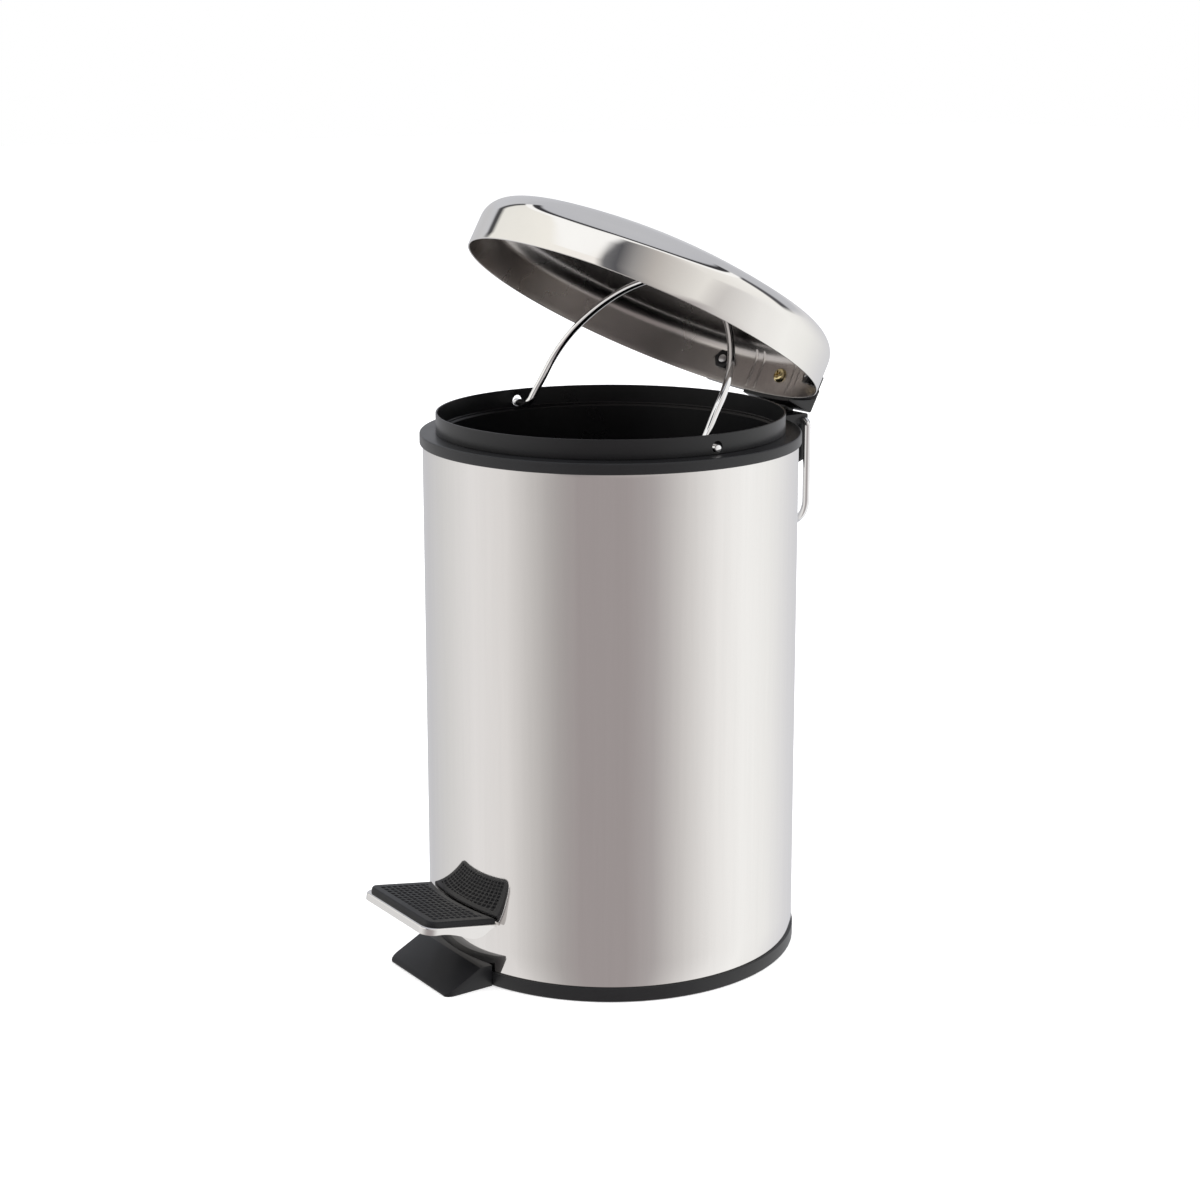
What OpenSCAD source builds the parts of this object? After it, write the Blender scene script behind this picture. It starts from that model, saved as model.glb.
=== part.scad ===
// Step-on waste bin: polished steel cylinder, lift-out inner bucket with a wire
// bail, hinged lid raised by a foot pedal through a lever and a push rod.
// All sizes in millimetres. +Z up, pedal towards -Y, lid hinge towards +Y,
// floor at z = 0, body axis on the Z axis. Drawn with the lid part open.

/* [Body] */
// outer radius of the steel shell
shell_r = 85; // [70:0.5:120]
// thickness of the steel shell
shell_t = 0.6; // [0.4:0.1:1.2]
// height of the lower edge of the shell
shell_z0 = 6.4; // [4:0.1:12]
// height of the upper edge of the shell
shell_z1 = 234; // [180:1:300]
// outer radius of the base ring
base_r = 85.6; // [80:0.1:120]
// height of the top of the collar
collar_z = 239; // [200:0.5:320]
// outer radius of the collar flange
collar_r = 86.3; // [80:0.1:120]

/* [Bucket] */
// outer radius of the bucket neck above the collar
neck_r = 78.94; // [70:0.01:100]
// height of the bucket rim
rim_z = 247.7; // [200:0.1:320]
// bucket wall thickness
bucket_t = 0.8; // [0.5:0.1:2]
// underside of the bucket floor
bucket_z0 = 40; // [30:1:80]
// outer radius of the bucket floor
bucket_r0 = 69.5; // [50:0.5:80]

/* [Lid] */
// how far the lid is open as drawn, degrees
lid_open = 28.3; // [0:0.1:60]
// hinge axis distance behind the body axis
hinge_y = 98; // [90:0.5:110]
// hinge axis height
hinge_z = 230.5; // [200:0.5:300]
// outer radius of the lid rim
lid_r = 85.4; // [80:0.1:120]
// height of the closed lid's rim
lid_z0 = 241.8; // [220:0.1:300]
// height of the straight lid skirt
lid_skirt = 14; // [10:0.5:30]
// radius of the lid's rounded shoulder
lid_shoulder = 10.5; // [4:0.5:14]
// total height of the lid
lid_h = 35; // [24:0.1:40]
// lid wall thickness
lid_t = 0.7; // [0.5:0.1:1.5]

/* [Bail] */
// bail wire radius
bail_wr = 1.7; // [1:0.1:3]
// height of the bail pivots
bail_z = 241.5; // [200:0.5:300]
// how far the bail leans back as drawn, degrees
bail_lean = 31; // [0:1:60]
// half distance between the bail legs
bail_leg = 67; // [50:1:74]

/* [Pedal] */
// pedal pivot distance in front of the body axis
pivot_y = 30; // [0:1:60]
// pedal pivot height
pivot_z = 28; // [14:0.5:30]
// half width of the rubber tread
pad_hw = 27.5; // [20:0.5:40]
// front edge of the rubber tread
pad_front = 114.2; // [100:0.5:140]
// height of the tread's front edge
pad_z = 37.7; // [25:0.1:50]
// slope of the tread up to its front edge, degrees
pad_slope = 9.5; // [0:0.5:20]
// thickness of the rubber tread
pad_t = 2.3; // [1:0.1:4]
// thickness of the pressed pedal plate
plate_t = 1.2; // [0.6:0.1:2]

/* [Carry handle] */
// wire radius of the carry handle
grip_wr = 1.75; // [1:0.05:3]
// half width of the carry handle
grip_hw = 20.2; // [18:0.1:30]
// length of the carry handle below its pivots
grip_len = 50; // [30:1:70]

/* [Detail] */
// facets on large round surfaces
fn_big = 120; // [48:4:180]
// facets on small round surfaces
fn_small = 32; // [16:4:64]

/* [Hidden] */
grip_y = hinge_y + 0.8;
grip_z = 236.4;
arm_a = 29.15;
rod_x = -6.2;
rod_y = 82.1;
rod_r = 1.3;
rod_pin_z = hinge_z - (hinge_y - rod_y) * tan(arm_a - lid_open);
foot_z = 23.4;
axle_r = 2;
inner_r = shell_r - shell_t;
sleeve_r = inner_r - 0.05;
dome_rise = lid_h - lid_skirt - lid_shoulder;
dome_r0 = lid_r - lid_shoulder - 0.15;

// which node to draw

// ---------- helpers ----------
module tube(r1, r0, z0, z1, n) {
    difference() {
        translate([0, 0, z0]) cylinder(r = r1, h = z1 - z0, $fn = n);
        translate([0, 0, z0 - 1]) cylinder(r = r0, h = z1 - z0 + 2, $fn = n);
    }
}
// cylinder along X between two x values
module xcyl(x0, x1, y, z, r, n) {
    translate([x0, y, z]) rotate([0, 90, 0]) cylinder(r = r, h = x1 - x0, $fn = n);
}
// solid of constant (y, z) section between two x values
module xprism(x0, x1) {
    translate([x0, 0, 0]) rotate([90, 0, 90]) linear_extrude(height = x1 - x0) children();
}
// places the closed lid's parts at the drawn opening
module lid_pose() {
    translate([0, hinge_y, hinge_z]) rotate([-lid_open, 0, 0])
        translate([0, -hinge_y, -hinge_z]) children();
}
// local frame of the tread: origin on its front top edge, +Y back along the slope
module pad_pose() {
    translate([0, -pad_front, pad_z]) rotate([-pad_slope, 0, 0]) children();
}
// flat outline with two rounded front corners
module rounded_front(hw, front, back, r) {
    union() {
        translate([-hw, front + r]) square([2 * hw, back - front - r]);
        translate([-hw + r, front]) square([2 * hw - 2 * r, r + 0.01]);
        translate([-hw + r, front + r]) circle(r = r, $fn = fn_small);
        translate([hw - r, front + r]) circle(r = r, $fn = fn_small);
    }
}
// upright cylinder that clears the steel body
module body_clear(r) {
    translate([0, 0, -20]) cylinder(r = r, h = 120, $fn = fn_big);
}

// stations of the wire in its own plane: [x, height above the pivot, direction of the section's first axis]
function arc_at(cx, cz, r, a0, a1, n, flip) = [for (i = [0:n]) let (a = a0 + (a1 - a0) * i / n)
    [cx + r * cos(a), cz + r * sin(a), flip ? a - 180 : a]];
module wire(stations, r, n) {
    m = len(stations);
    pts = [for (p = stations, k = [0:n - 1]) let (q = 360 * k / n)
        [p[0] + r * cos(q) * cos(p[2]), r * sin(q), p[1] + r * cos(q) * sin(p[2])]];
    sides = [for (i = [0:m - 2], k = [0:n - 1])
        [i * n + k, (i + 1) * n + k, (i + 1) * n + (k + 1) % n, i * n + (k + 1) % n]];
    caps = [[for (k = [0:n - 1]) k], [for (k = [n - 1:-1:0]) (m - 1) * n + k]];
    polyhedron(points = pts, faces = concat(sides, caps), convexity = 8);
}

// ---------- body ----------
module outer_shell() {
    color([0.83, 0.82, 0.80]) difference() {
        tube(shell_r, inner_r, shell_z0, shell_z1, fn_big);
        // slot for the pedal lever
        translate([-10.5, -90, 18.2]) cube([21, 12, 14]);
        // slot for the lid arm
        translate([-5.3, 80, 216.5]) cube([10.6, 12, 20]);
        for (s = [-1, 1])
            translate([s * 13.5, 95, 217]) rotate([90, 0, 0]) cylinder(r = 1.6, h = 16, $fn = fn_small);
    }
}
module base() {
    color([0.06, 0.06, 0.065]) union() {
        difference() {
            rotate_extrude($fn = fn_big) polygon([[0, 0], [base_r - 0.5, 0],
                [base_r, 0.5], [base_r, shell_z0 - 0.4], [base_r - 0.3, shell_z0], [sleeve_r, shell_z0],
                [sleeve_r, 12.2], [83, 12.2], [83, 4.5], [0, 4.5]]);
            translate([-10.5, -90, 11]) cube([21, 12, 14]);
            for (a = [45:90:315]) rotate([0, 0, a]) translate([66, 0, -1]) cylinder(r = 6.5, h = 3.5, $fn = fn_small);
        }
        // toe piece under the pedal
        difference() {
            intersection() {
                xprism(-26, 26) polygon([[-80, 0], [-105.2, 0], [-105.9, 0.5], [-105.7, 1.3],
                    [-88.2, 9.5], [-87.4, 9.8], [-80, 9.8]]);
                linear_extrude(height = 12) rounded_front(25.5, -106, -70, 5);
            }
            translate([0, 0, shell_z0]) cylinder(r = shell_r + 0.05, h = 10, $fn = fn_big);
            translate([0, 0, -1]) cylinder(r = 84, h = 20, $fn = fn_big);
        }
        // lugs that carry the pedal axle
        for (s = [-1, 1]) difference() {
            translate([s * 13 - 2.3, -pivot_y - 6, 4]) cube([4.6, 12, 28]);
            xcyl(-20, 20, -pivot_y, pivot_z, axle_r + 0.02, fn_small);
        }
    }
}
module rubber_feet() {
    color([0.12, 0.12, 0.12]) for (a = [45:90:315]) rotate([0, 0, a])
        translate([66, 0, 0]) cylinder(r = 6.45, h = 2.5, $fn = fn_small);
}
module top_collar() {
    color([0.05, 0.05, 0.055]) difference() {
        rotate_extrude($fn = fn_big) polygon([[77.6, 236], [82.9, 231.5], [82.9, 224], [sleeve_r, 224],
            [sleeve_r, shell_z1], [collar_r, shell_z1], [collar_r, collar_z - 0.5], [collar_r - 0.5, collar_z],
            [77.6, collar_z]]);
        translate([-8.6, 70, 220]) cube([14.2, 20, 22]);
    }
}
module bucket() {
    color([0.07, 0.07, 0.075]) difference() {
        rotate_extrude($fn = fn_big) polygon([[0, bucket_z0], [bucket_r0 - 3, bucket_z0], [bucket_r0, bucket_z0 + 3],
            [75, 215], [77.3, 219], [77.3, collar_z], [neck_r, collar_z], [neck_r, rim_z - 0.4], [neck_r - 0.25, rim_z],
            [neck_r - bucket_t + 0.1, rim_z], [neck_r - bucket_t, rim_z - 0.3], [neck_r - bucket_t, collar_z + 0.3],
            [77.3 - bucket_t, collar_z - 1.1], [77.3 - bucket_t, 219.4], [75 - bucket_t, 215.3],
            [bucket_r0 - bucket_t, bucket_z0 + 3.4], [bucket_r0 - 3.4, bucket_z0 + 0.9], [0, bucket_z0 + 0.9]]);
        xcyl(-82, -74, 0, bail_z + 0.6, 2.7, fn_small);
        xcyl(74, 82, 0, bail_z + 0.6, 2.7, fn_small);
    }
}

// ---------- hinge ----------
module hinge_bracket() {
    color([0.06, 0.06, 0.065]) difference() {
        xprism(-17.5, 17.5) polygon([[101.4, 238.6], [101.4, 220], [99.6, 217.6], [84, 211.5], [80, 211.5],
            [80, 239.2], [100.8, 239.2]]);
        translate([0, 0, 200]) cylinder(r = shell_r + 0.03, h = 34, $fn = fn_big);
        translate([0, 0, 233.99]) cylinder(r = collar_r + 0.05, h = 10, $fn = fn_big);
        translate([-5.3, 80, 216.5]) cube([10.6, 18.6, 30]);
        translate([-5.3, 95, 226.2]) cube([10.6, 10, 20]);
        xcyl(-16.9, 16.9, hinge_y, hinge_z, 1.62, fn_small);
        for (s = [-1, 1]) {
            xcyl(s * 16.25 - 2.25, s * 16.25 + 2.25, grip_y, grip_z, grip_wr + 0.06, fn_small);
            translate([s * 13.5, 95, 217]) rotate([90, 0, 0]) cylinder(r = 1.52, h = 16, $fn = fn_small);
        }
    }
}
module bracket_screws() {
    color([0.7, 0.7, 0.7]) for (s = [-1, 1]) translate([s * 13.5, 0, 217]) {
        translate([0, 93, 0]) rotate([90, 0, 0]) cylinder(r = 1.5, h = 10.6, $fn = fn_small);
        translate([0, 82.5, 0]) rotate([90, 0, 0]) cylinder(r = 3, h = 1.6, $fn = fn_small);
    }
}
module hinge_pin() {
    color([0.8, 0.8, 0.8]) xcyl(-16.8, 16.8, hinge_y, hinge_z, 1.6, fn_small);
}
module carry_handle() {
    r = 12.5;
    half = concat([[14.5, 0, 90]],
        arc_at(grip_hw - 2.6, 2.6, 2.6, 270, 360, 6, false),
        arc_at(grip_hw - r, grip_len - r, r, 0, 90, 8, false));
    right = [for (i = [0:len(half) - 1]) i == 0 ? [14.5, 0, -90] : half[i]];
    left = [for (i = [len(half) - 1:-1:0]) [-right[i][0], right[i][1], 180 - right[i][2]]];
    color([0.85, 0.85, 0.86]) translate([0, grip_y, grip_z]) rotate([180, 0, 0])
        wire(concat(right, left), grip_wr, 20);
}

// ---------- lid ----------
module lid_profile(t) {
    // section of the lid from the axis out; t shrinks it inwards
    a = [for (i = [0:8]) i * (90 - 6) / 8];
    polygon(concat(
        [[0, -5], [lid_r - t, -5], [lid_r - t, 0]],
        [for (k = a) [lid_r - 0.15 - lid_shoulder + (lid_shoulder - t) * cos(k), lid_skirt + (lid_shoulder - t) * sin(k)]],
        [for (i = [7:-1:1]) let (r = dome_r0 * i / 8) [r, lid_h - t - dome_rise * pow(i / 8, 2)]],
        [[0, lid_h - t]]));
}
module lid_shell() {
    color([0.80, 0.79, 0.77]) lid_pose() translate([0, 0, lid_z0]) difference() {
        rotate_extrude($fn = fn_big) lid_profile(0);
        translate([0, 0, -6]) cylinder(r = 100, h = 6, $fn = fn_small);
        translate([0, 0, -0.01]) rotate_extrude($fn = fn_big) lid_profile(lid_t);
    }
}
module lid_hinge_arm() {
    color([0.06, 0.06, 0.065]) lid_pose() union() {
        difference() {
            union() {
                // block behind the lid
                xprism(-17.5, 17.5) polygon([[80, 240.4], [97.7, 240.4], [98.3, 241], [98.3, 251.8], [93.4, 253.7], [80, 253.7]]);
                // curved wings hugging the skirt
                translate([0, 0, 241.8]) rotate([0, 0, 63]) rotate_extrude(angle = 54, $fn = fn_big)
                    translate([lid_r - 2, 0]) polygon([[0, 0], [4.2, 0], [4.8, 0.6], [4.8, 11], [3.8, 12], [0, 12]]);
            }
            translate([0, 0, 230]) cylinder(r = lid_r + 0.02, h = 40, $fn = fn_big);
        }
        // knuckle on the hinge pin and the arm worked by the push rod
        difference() {
            union() {
                xprism(-4.5, 4.5) polygon([[93, 241.2], [98.3, 241.2], [101.3, 231.5], [101.4, 230.5], [99, 227.4], [95.5, 228.3], [93, 234]]);
                xcyl(-4.5, 4.5, hinge_y, hinge_z, 3.4, fn_small);
                translate([-3.2, hinge_y, hinge_z]) rotate([arm_a, 0, 0]) translate([0, -19.4, -3.5]) cube([6.4, 17.5, 7]);
            }
            xcyl(-6, 6, hinge_y, hinge_z, 1.66, fn_small);
            // open slot for the rod's bent end
            translate([-6, hinge_y, hinge_z]) rotate([arm_a, 0, 0]) {
                translate([0, -21, -2]) cube([12, 6.6, 4]);
                xcyl(0, 12, -14.4, 0, 2, fn_small);
            }
        }
    }
}
module lid_screw() {
    // brass screw through the skirt into the block
    color([0.75, 0.6, 0.3]) lid_pose() rotate([0, 0, -1.7]) {
        translate([0, lid_r - lid_t - 0.4, 252]) rotate([90, 0, 0]) cylinder(r1 = 3.5, r2 = 2.6, h = 1.6, $fn = fn_small);
    }
}
module lid_nuts() {
    color([0.07, 0.07, 0.07]) lid_pose() for (a = [-22.8, 22.8]) rotate([0, 0, a])
        translate([0, lid_r - lid_t - 0.45, 252.6]) rotate([90, 0, 0]) difference() {
            cylinder(r = 5, h = 3.2, $fn = 6);
            translate([0, 0, 2]) cylinder(r = 2.4, h = 3, $fn = fn_small);
        }
}

// ---------- bail ----------
module bail_handle() {
    b = 45;
    t1 = 34.8;
    t2 = 69.6;
    top = 71.8;
    half = concat([[79.7, 0, 90]],
        arc_at(bail_leg + 4.7, 4.7, 4.7, 270, 180, 6, true),
        arc_at(bail_leg - b, 18, b, 0, t1, 7, false),
        [for (p = arc_at(0, 2.7, top, t1, t2, 10, false)) if (p[2] > t1 + 1) p],
        [for (p = arc_at((top - 25) * cos(t2), 2.7 + (top - 25) * sin(t2), 25, t2, 90, 4, false)) if (p[2] > t2 + 1) p]);
    other = [for (i = [len(half) - 1:-1:0]) [-half[i][0], half[i][1], 180 - half[i][2]]];
    color([0.85, 0.85, 0.86]) translate([0, 0, bail_z]) rotate([-bail_lean, 0, 0])
        wire(concat(half, other), bail_wr, 20);
}

// ---------- pedal gear ----------
module rod_guide() {
    color([0.1, 0.1, 0.1]) difference() {
        intersection() {
            translate([-11, 79.4, 116]) cube([9.6, 6, 8]);
            translate([0, 0, 100]) cylinder(r = sleeve_r, h = 40, $fn = fn_big);
        }
        translate([rod_x, rod_y, 100]) cylinder(r = rod_r + 0.35, h = 40, $fn = fn_small);
    }
}
module push_rod() {
    color([0.75, 0.75, 0.76]) union() {
        translate([rod_x, rod_y, foot_z]) cylinder(r = rod_r, h = rod_pin_z - foot_z, $fn = 24);
        translate([rod_x, rod_y, foot_z]) sphere(r = rod_r, $fn = 24);
        translate([rod_x, rod_y, rod_pin_z]) sphere(r = rod_r, $fn = 24);
        xcyl(rod_x, 4.4, rod_y, rod_pin_z, rod_r, 24);
        translate([rod_x, rod_y, foot_z]) rotate([90, 0, 0]) cylinder(r = rod_r, h = rod_y - 77.5, $fn = 24);
    }
}
module pedal_axle() {
    color([0.75, 0.75, 0.76]) xcyl(-15.6, 15.6, -pivot_y, pivot_z, axle_r, fn_small);
}
module pedal_lever() {
    color([0.5, 0.5, 0.5]) difference() {
        union() {
            xprism(-9, 9) polygon([[81, 21.5], [-50, 21.5], [-58, 27], [-90.5, 27], [-98, 31.2], [-100.3, 28.8],
                [-91.8, 24], [-59.4, 24], [-51.4, 18.5], [81, 18.5]]);
            // ears that hang the bar from the axle
            for (s = [-1, 1]) translate([s * 7.75, 0, 0]) {
                xprism(-1.25, 1.25) polygon([[-40, 21], [-20, 21], [-26.2, 29.5], [-33.8, 29.5]]);
                xcyl(-1.25, 1.25, -pivot_y, pivot_z, 4.1, fn_small);
            }
            pad_pose() translate([-9, 4.5, -pad_t - plate_t - 3]) cube([18, 12, 3]);
        }
        xcyl(-12, 12, -pivot_y, pivot_z, axle_r + 0.06, fn_small);
        for (s = [-1, 1]) pad_pose() translate([s * 5, 8, -pad_t - plate_t - 10]) cylinder(r = 1.52, h = 11, $fn = fn_small);
    }
}
module pedal_plate() {
    color([0.82, 0.82, 0.82]) difference() {
        pad_pose() difference() {
            intersection() {
                xprism(-28.5, 28.5) polygon([[-2.4, -pad_t], [-2.4, -5.7], [6.6, -5.3], [14, -6.1], [20, -7.9], [24.5, -8.4],
                    [28, -7.2], [31, -4.2], [33, -pad_t]]);
                translate([0, 0, -20]) linear_extrude(height = 30) rounded_front(28.5, -2.4, 40, 6);
            }
            translate([0, 0, -20]) linear_extrude(height = 20 - pad_t - plate_t) rounded_front(28.5 - plate_t, -2.4 + plate_t, 41, 5);
            // seats for the rivets
            for (s = [-1, 1]) translate([s * 5, 8, -pad_t - plate_t - 2]) cylinder(r = 1.52, h = 2.6, $fn = fn_small);
        }
        body_clear(85.55);
    }
}
module tread_pad() {
    color([0.09, 0.09, 0.095]) difference() {
        pad_pose() difference() {
            translate([0, 0, -pad_t]) linear_extrude(height = pad_t) rounded_front(pad_hw, 0, 40, 4.5);
            for (i = [-6:6], j = [0:4])
                if (abs(i) < 5 || j > 0) translate([i * 3.8 - 1.3, 4 + j * 3.8, -0.6])
                    if (pow(i * 3.8, 2) + pow(pad_front - 4 - j * 3.8 - 3.4, 2) > pow(90.8, 2)) cube([2.6, 2.6, 1]);
        }
        body_clear(85.6);
    }
}
module pedal_rivets() {
    color([0.7, 0.7, 0.7]) pad_pose() for (s = [-1, 1]) translate([s * 5, 8, 0]) {
        translate([0, 0, -pad_t - plate_t - 3]) cylinder(r = 1.5, h = 3.5, $fn = fn_small);
        translate([0, 0, -pad_t - plate_t - 4]) cylinder(r = 2.7, h = 1, $fn = fn_small);
    }
}

outer_shell();
base();
rubber_feet();
top_collar();
bucket();
hinge_bracket();
bracket_screws();
hinge_pin();
rod_guide();
pedal_axle();
lid_shell();
lid_hinge_arm();
lid_screw();
lid_nuts();
bail_handle();
push_rod();
pedal_lever();
pedal_plate();
tread_pad();
pedal_rivets();
carry_handle();
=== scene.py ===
import bpy, bmesh, math
from mathutils import Matrix, Vector


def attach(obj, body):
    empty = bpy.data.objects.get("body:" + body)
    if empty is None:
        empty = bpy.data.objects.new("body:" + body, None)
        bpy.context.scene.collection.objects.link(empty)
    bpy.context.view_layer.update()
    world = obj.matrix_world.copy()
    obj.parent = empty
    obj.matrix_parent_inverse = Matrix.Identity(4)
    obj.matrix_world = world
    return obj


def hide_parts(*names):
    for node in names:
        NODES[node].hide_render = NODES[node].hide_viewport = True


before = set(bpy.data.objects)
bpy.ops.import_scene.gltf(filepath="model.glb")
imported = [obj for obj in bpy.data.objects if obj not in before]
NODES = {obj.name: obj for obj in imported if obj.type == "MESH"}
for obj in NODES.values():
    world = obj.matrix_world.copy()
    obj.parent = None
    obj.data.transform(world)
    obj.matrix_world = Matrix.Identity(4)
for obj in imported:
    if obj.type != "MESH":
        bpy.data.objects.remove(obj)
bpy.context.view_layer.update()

MM = 0.001
scene = bpy.context.scene

# ------------------------------------------------------------------ sizes (mm, same as the CAD part)
SHELL_R, SHELL_T, SHELL_Z0, SHELL_Z1 = 85.0, 0.6, 6.4, 234.0
BASE_R, COLLAR_Z, COLLAR_R = 85.6, 239.0, 86.3
NECK_R, RIM_Z, BUCKET_T, BUCKET_Z0, BUCKET_R0 = 78.94, 247.7, 0.8, 40.0, 69.5
LID_OPEN, HY, HZ = 28.3, 98.0, 230.5
LID_R, LID_Z0, LID_SKIRT, LID_SH, LID_H, LID_T = 85.4, 241.8, 14.0, 10.5, 35.0, 0.7
DOME = LID_H - LID_SKIRT - LID_SH
BAIL_R, BAIL_Z, BAIL_LEAN, BAIL_LEG = 1.7, 241.5, 31.0, 67.0
PAD_HW, PAD_F, PAD_Z, PAD_SLOPE, PAD_T, PLATE_T = 27.5, 114.2, 37.7, 9.5, 2.3, 1.2
GRIP_R, GRIP_HW, GRIP_L, GRIP_Y, GRIP_Z = 1.75, 20.2, 50.0, 98.8, 236.4

LID_M = (Matrix.Translation((0, HY, HZ)) @ Matrix.Rotation(math.radians(-LID_OPEN), 4, 'X')
         @ Matrix.Translation((0, -HY, -HZ)))
PAD_M = Matrix.Translation((0, -PAD_F, PAD_Z)) @ Matrix.Rotation(math.radians(-PAD_SLOPE), 4, 'X')
I4 = Matrix.Identity(4)


# ------------------------------------------------------------------ mesh helpers
def make(name, verts, faces, mats, matrix=I4, sharp=35, face_mats=None):
    me = bpy.data.meshes.new(name)
    me.from_pydata([tuple(matrix @ Vector(v) * MM) for v in verts], [], faces)
    me.validate()
    bm = bmesh.new(); bm.from_mesh(me)
    bmesh.ops.remove_doubles(bm, verts=bm.verts, dist=1e-7)
    if face_mats is None:
        bmesh.ops.recalc_face_normals(bm, faces=bm.faces)
    bm.to_mesh(me); bm.free()
    ob = bpy.data.objects.new(name, me)
    scene.collection.objects.link(ob)
    for m in mats:
        me.materials.append(m)
    if face_mats is not None and len(face_mats) == len(me.polygons):
        me.polygons.foreach_set("material_index", face_mats)
        bm = bmesh.new(); bm.from_mesh(me)
        bmesh.ops.recalc_face_normals(bm, faces=bm.faces)
        bm.to_mesh(me); bm.free()
    shade(ob, sharp)
    return ob


def shade(ob, sharp=35):
    me = ob.data
    me.polygons.foreach_set("use_smooth", [True] * len(me.polygons))
    me.set_sharp_from_angle(angle=math.radians(sharp))
    me.update()


def baked(ob, sharp=35):
    """applies the object's modifiers"""
    dg = bpy.context.evaluated_depsgraph_get()
    me = bpy.data.meshes.new_from_object(ob.evaluated_get(dg))
    ob.modifiers.clear()
    ob.data = me
    shade(ob, sharp)
    return ob


def fillet(pts, radii, n=5):
    """rounds the corners of a closed 2-D outline"""
    out = []
    m = len(pts)
    for i in range(m):
        p = Vector(pts[i]); a = Vector(pts[i - 1]); b = Vector(pts[(i + 1) % m])
        r = radii[i] if isinstance(radii, (list, tuple)) else radii
        d1 = (a - p); d2 = (b - p)
        l1, l2 = d1.length, d2.length
        if r <= 0 or l1 < 1e-6 or l2 < 1e-6:
            out.append(tuple(p)); continue
        d1.normalize(); d2.normalize()
        ang = math.acos(max(-1, min(1, d1.dot(d2))))
        if ang > math.pi - 0.03:
            out.append(tuple(p)); continue
        t = min(r / math.tan(ang / 2), 0.49 * l1, 0.49 * l2)
        p1 = p + d1 * t; p2 = p + d2 * t
        for k in range(n + 1):
            s = k / n
            q = p1 * (1 - s) ** 2 + p * 2 * s * (1 - s) + p2 * s * s
            out.append(tuple(q))
    return out


def lathe(name, prof, segs, mats, matrix=I4, a0=0.0, a1=360.0, sharp=40, mat_of=None, closed=True):
    """turns a closed (r, z) outline about Z; angles in degrees from +X"""
    full = abs(a1 - a0 - 360) < 1e-6
    n = segs if full else segs + 1
    m = len(prof)
    verts, faces, fm = [], [], []
    for i in range(n):
        a = math.radians(a0 + (a1 - a0) * i / segs)
        c, s = math.cos(a), math.sin(a)
        for r, z in prof:
            verts.append((r * c, r * s, z))
    for i in range(segs):
        j = (i + 1) % n
        for k in range(m if closed else m - 1):
            k2 = (k + 1) % m
            if prof[k][0] < 1e-9 and prof[k2][0] < 1e-9:
                continue
            faces.append((i * m + k, j * m + k, j * m + k2, i * m + k2))
            fm.append(mat_of(k) if mat_of else 0)
    if not full:
        faces.append(tuple(range(m))[::-1]); fm.append(0)
        faces.append(tuple((n - 1) * m + k for k in range(m))); fm.append(0)
    me = bpy.data.meshes.new(name)
    me.from_pydata([tuple(matrix @ Vector(v) * MM) for v in verts], [], faces)
    for mt in mats:
        me.materials.append(mt)
    me.polygons.foreach_set("material_index", fm)
    bm = bmesh.new(); bm.from_mesh(me)
    bmesh.ops.remove_doubles(bm, verts=bm.verts, dist=1e-7)
    bmesh.ops.dissolve_degenerate(bm, edges=bm.edges, dist=1e-8)
    bmesh.ops.recalc_face_normals(bm, faces=bm.faces)
    bm.to_mesh(me); bm.free()
    ob = bpy.data.objects.new(name, me)
    scene.collection.objects.link(ob)
    shade(ob, sharp)
    return ob


def prism(name, outline, x0, x1, mats, matrix=I4, bevel=0.5, seg=3, sharp=35):
    """solid of constant (y, z) outline between two x values, edges rounded"""
    m = len(outline)
    verts = [(x0, y, z) for y, z in outline] + [(x1, y, z) for y, z in outline]
    faces = [tuple(range(m)), tuple(range(m, 2 * m))[::-1]]
    faces += [(k, (k + 1) % m, m + (k + 1) % m, m + k) for k in range(m)]
    ob = make(name, verts, faces, mats, matrix, sharp)
    if bevel:
        bev(ob, bevel, seg)
    return ob


def bev(ob, width, seg=3, angle=30):
    md = ob.modifiers.new("bevel", 'BEVEL')
    md.width = width * MM; md.segments = seg
    md.limit_method = 'ANGLE'; md.angle_limit = math.radians(angle)
    md.harden_normals = False
    md.use_clamp_overlap = True
    return baked(ob)


def tube(name, pts, r, mats, matrix=I4, res=20):
    """round wire along points, with rounded ends"""
    verts, faces = [], []
    P = [Vector(p) for p in pts]
    n = len(P)
    T = []
    for i in range(n):
        d = P[min(i + 1, n - 1)] - P[max(i - 1, 0)]
        T.append(d.normalized())
    ref = Vector((0, 1, 0))
    rings = []
    def ring(c, t, rr):
        b = ref - t * ref.dot(t)
        b.normalize()
        a = b.cross(t); a.normalize()
        return [tuple(c + (a * math.cos(2 * math.pi * k / res) + b * math.sin(2 * math.pi * k / res)) * rr) for k in range(res)]
    ch = 0.35
    rings.append(ring(P[0], T[0], r - ch))
    rings.append(ring(P[0] + T[0] * ch * 0.3, T[0], r - ch * 0.3))
    rings.append(ring(P[0] + T[0] * ch, T[0], r))
    for i in range(1, n - 1):
        rings.append(ring(P[i], T[i], r))
    rings.append(ring(P[-1] - T[-1] * ch, T[-1], r))
    rings.append(ring(P[-1] - T[-1] * ch * 0.3, T[-1], r - ch * 0.3))
    rings.append(ring(P[-1], T[-1], r - ch))
    for q in rings:
        verts += q
    for i in range(len(rings) - 1):
        for k in range(res):
            k2 = (k + 1) % res
            faces.append((i * res + k, i * res + k2, (i + 1) * res + k2, (i + 1) * res + k))
    faces.append(tuple(range(res))[::-1])
    faces.append(tuple((len(rings) - 1) * res + k for k in range(res)))
    return make(name, verts, faces, mats, matrix, 50)


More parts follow.
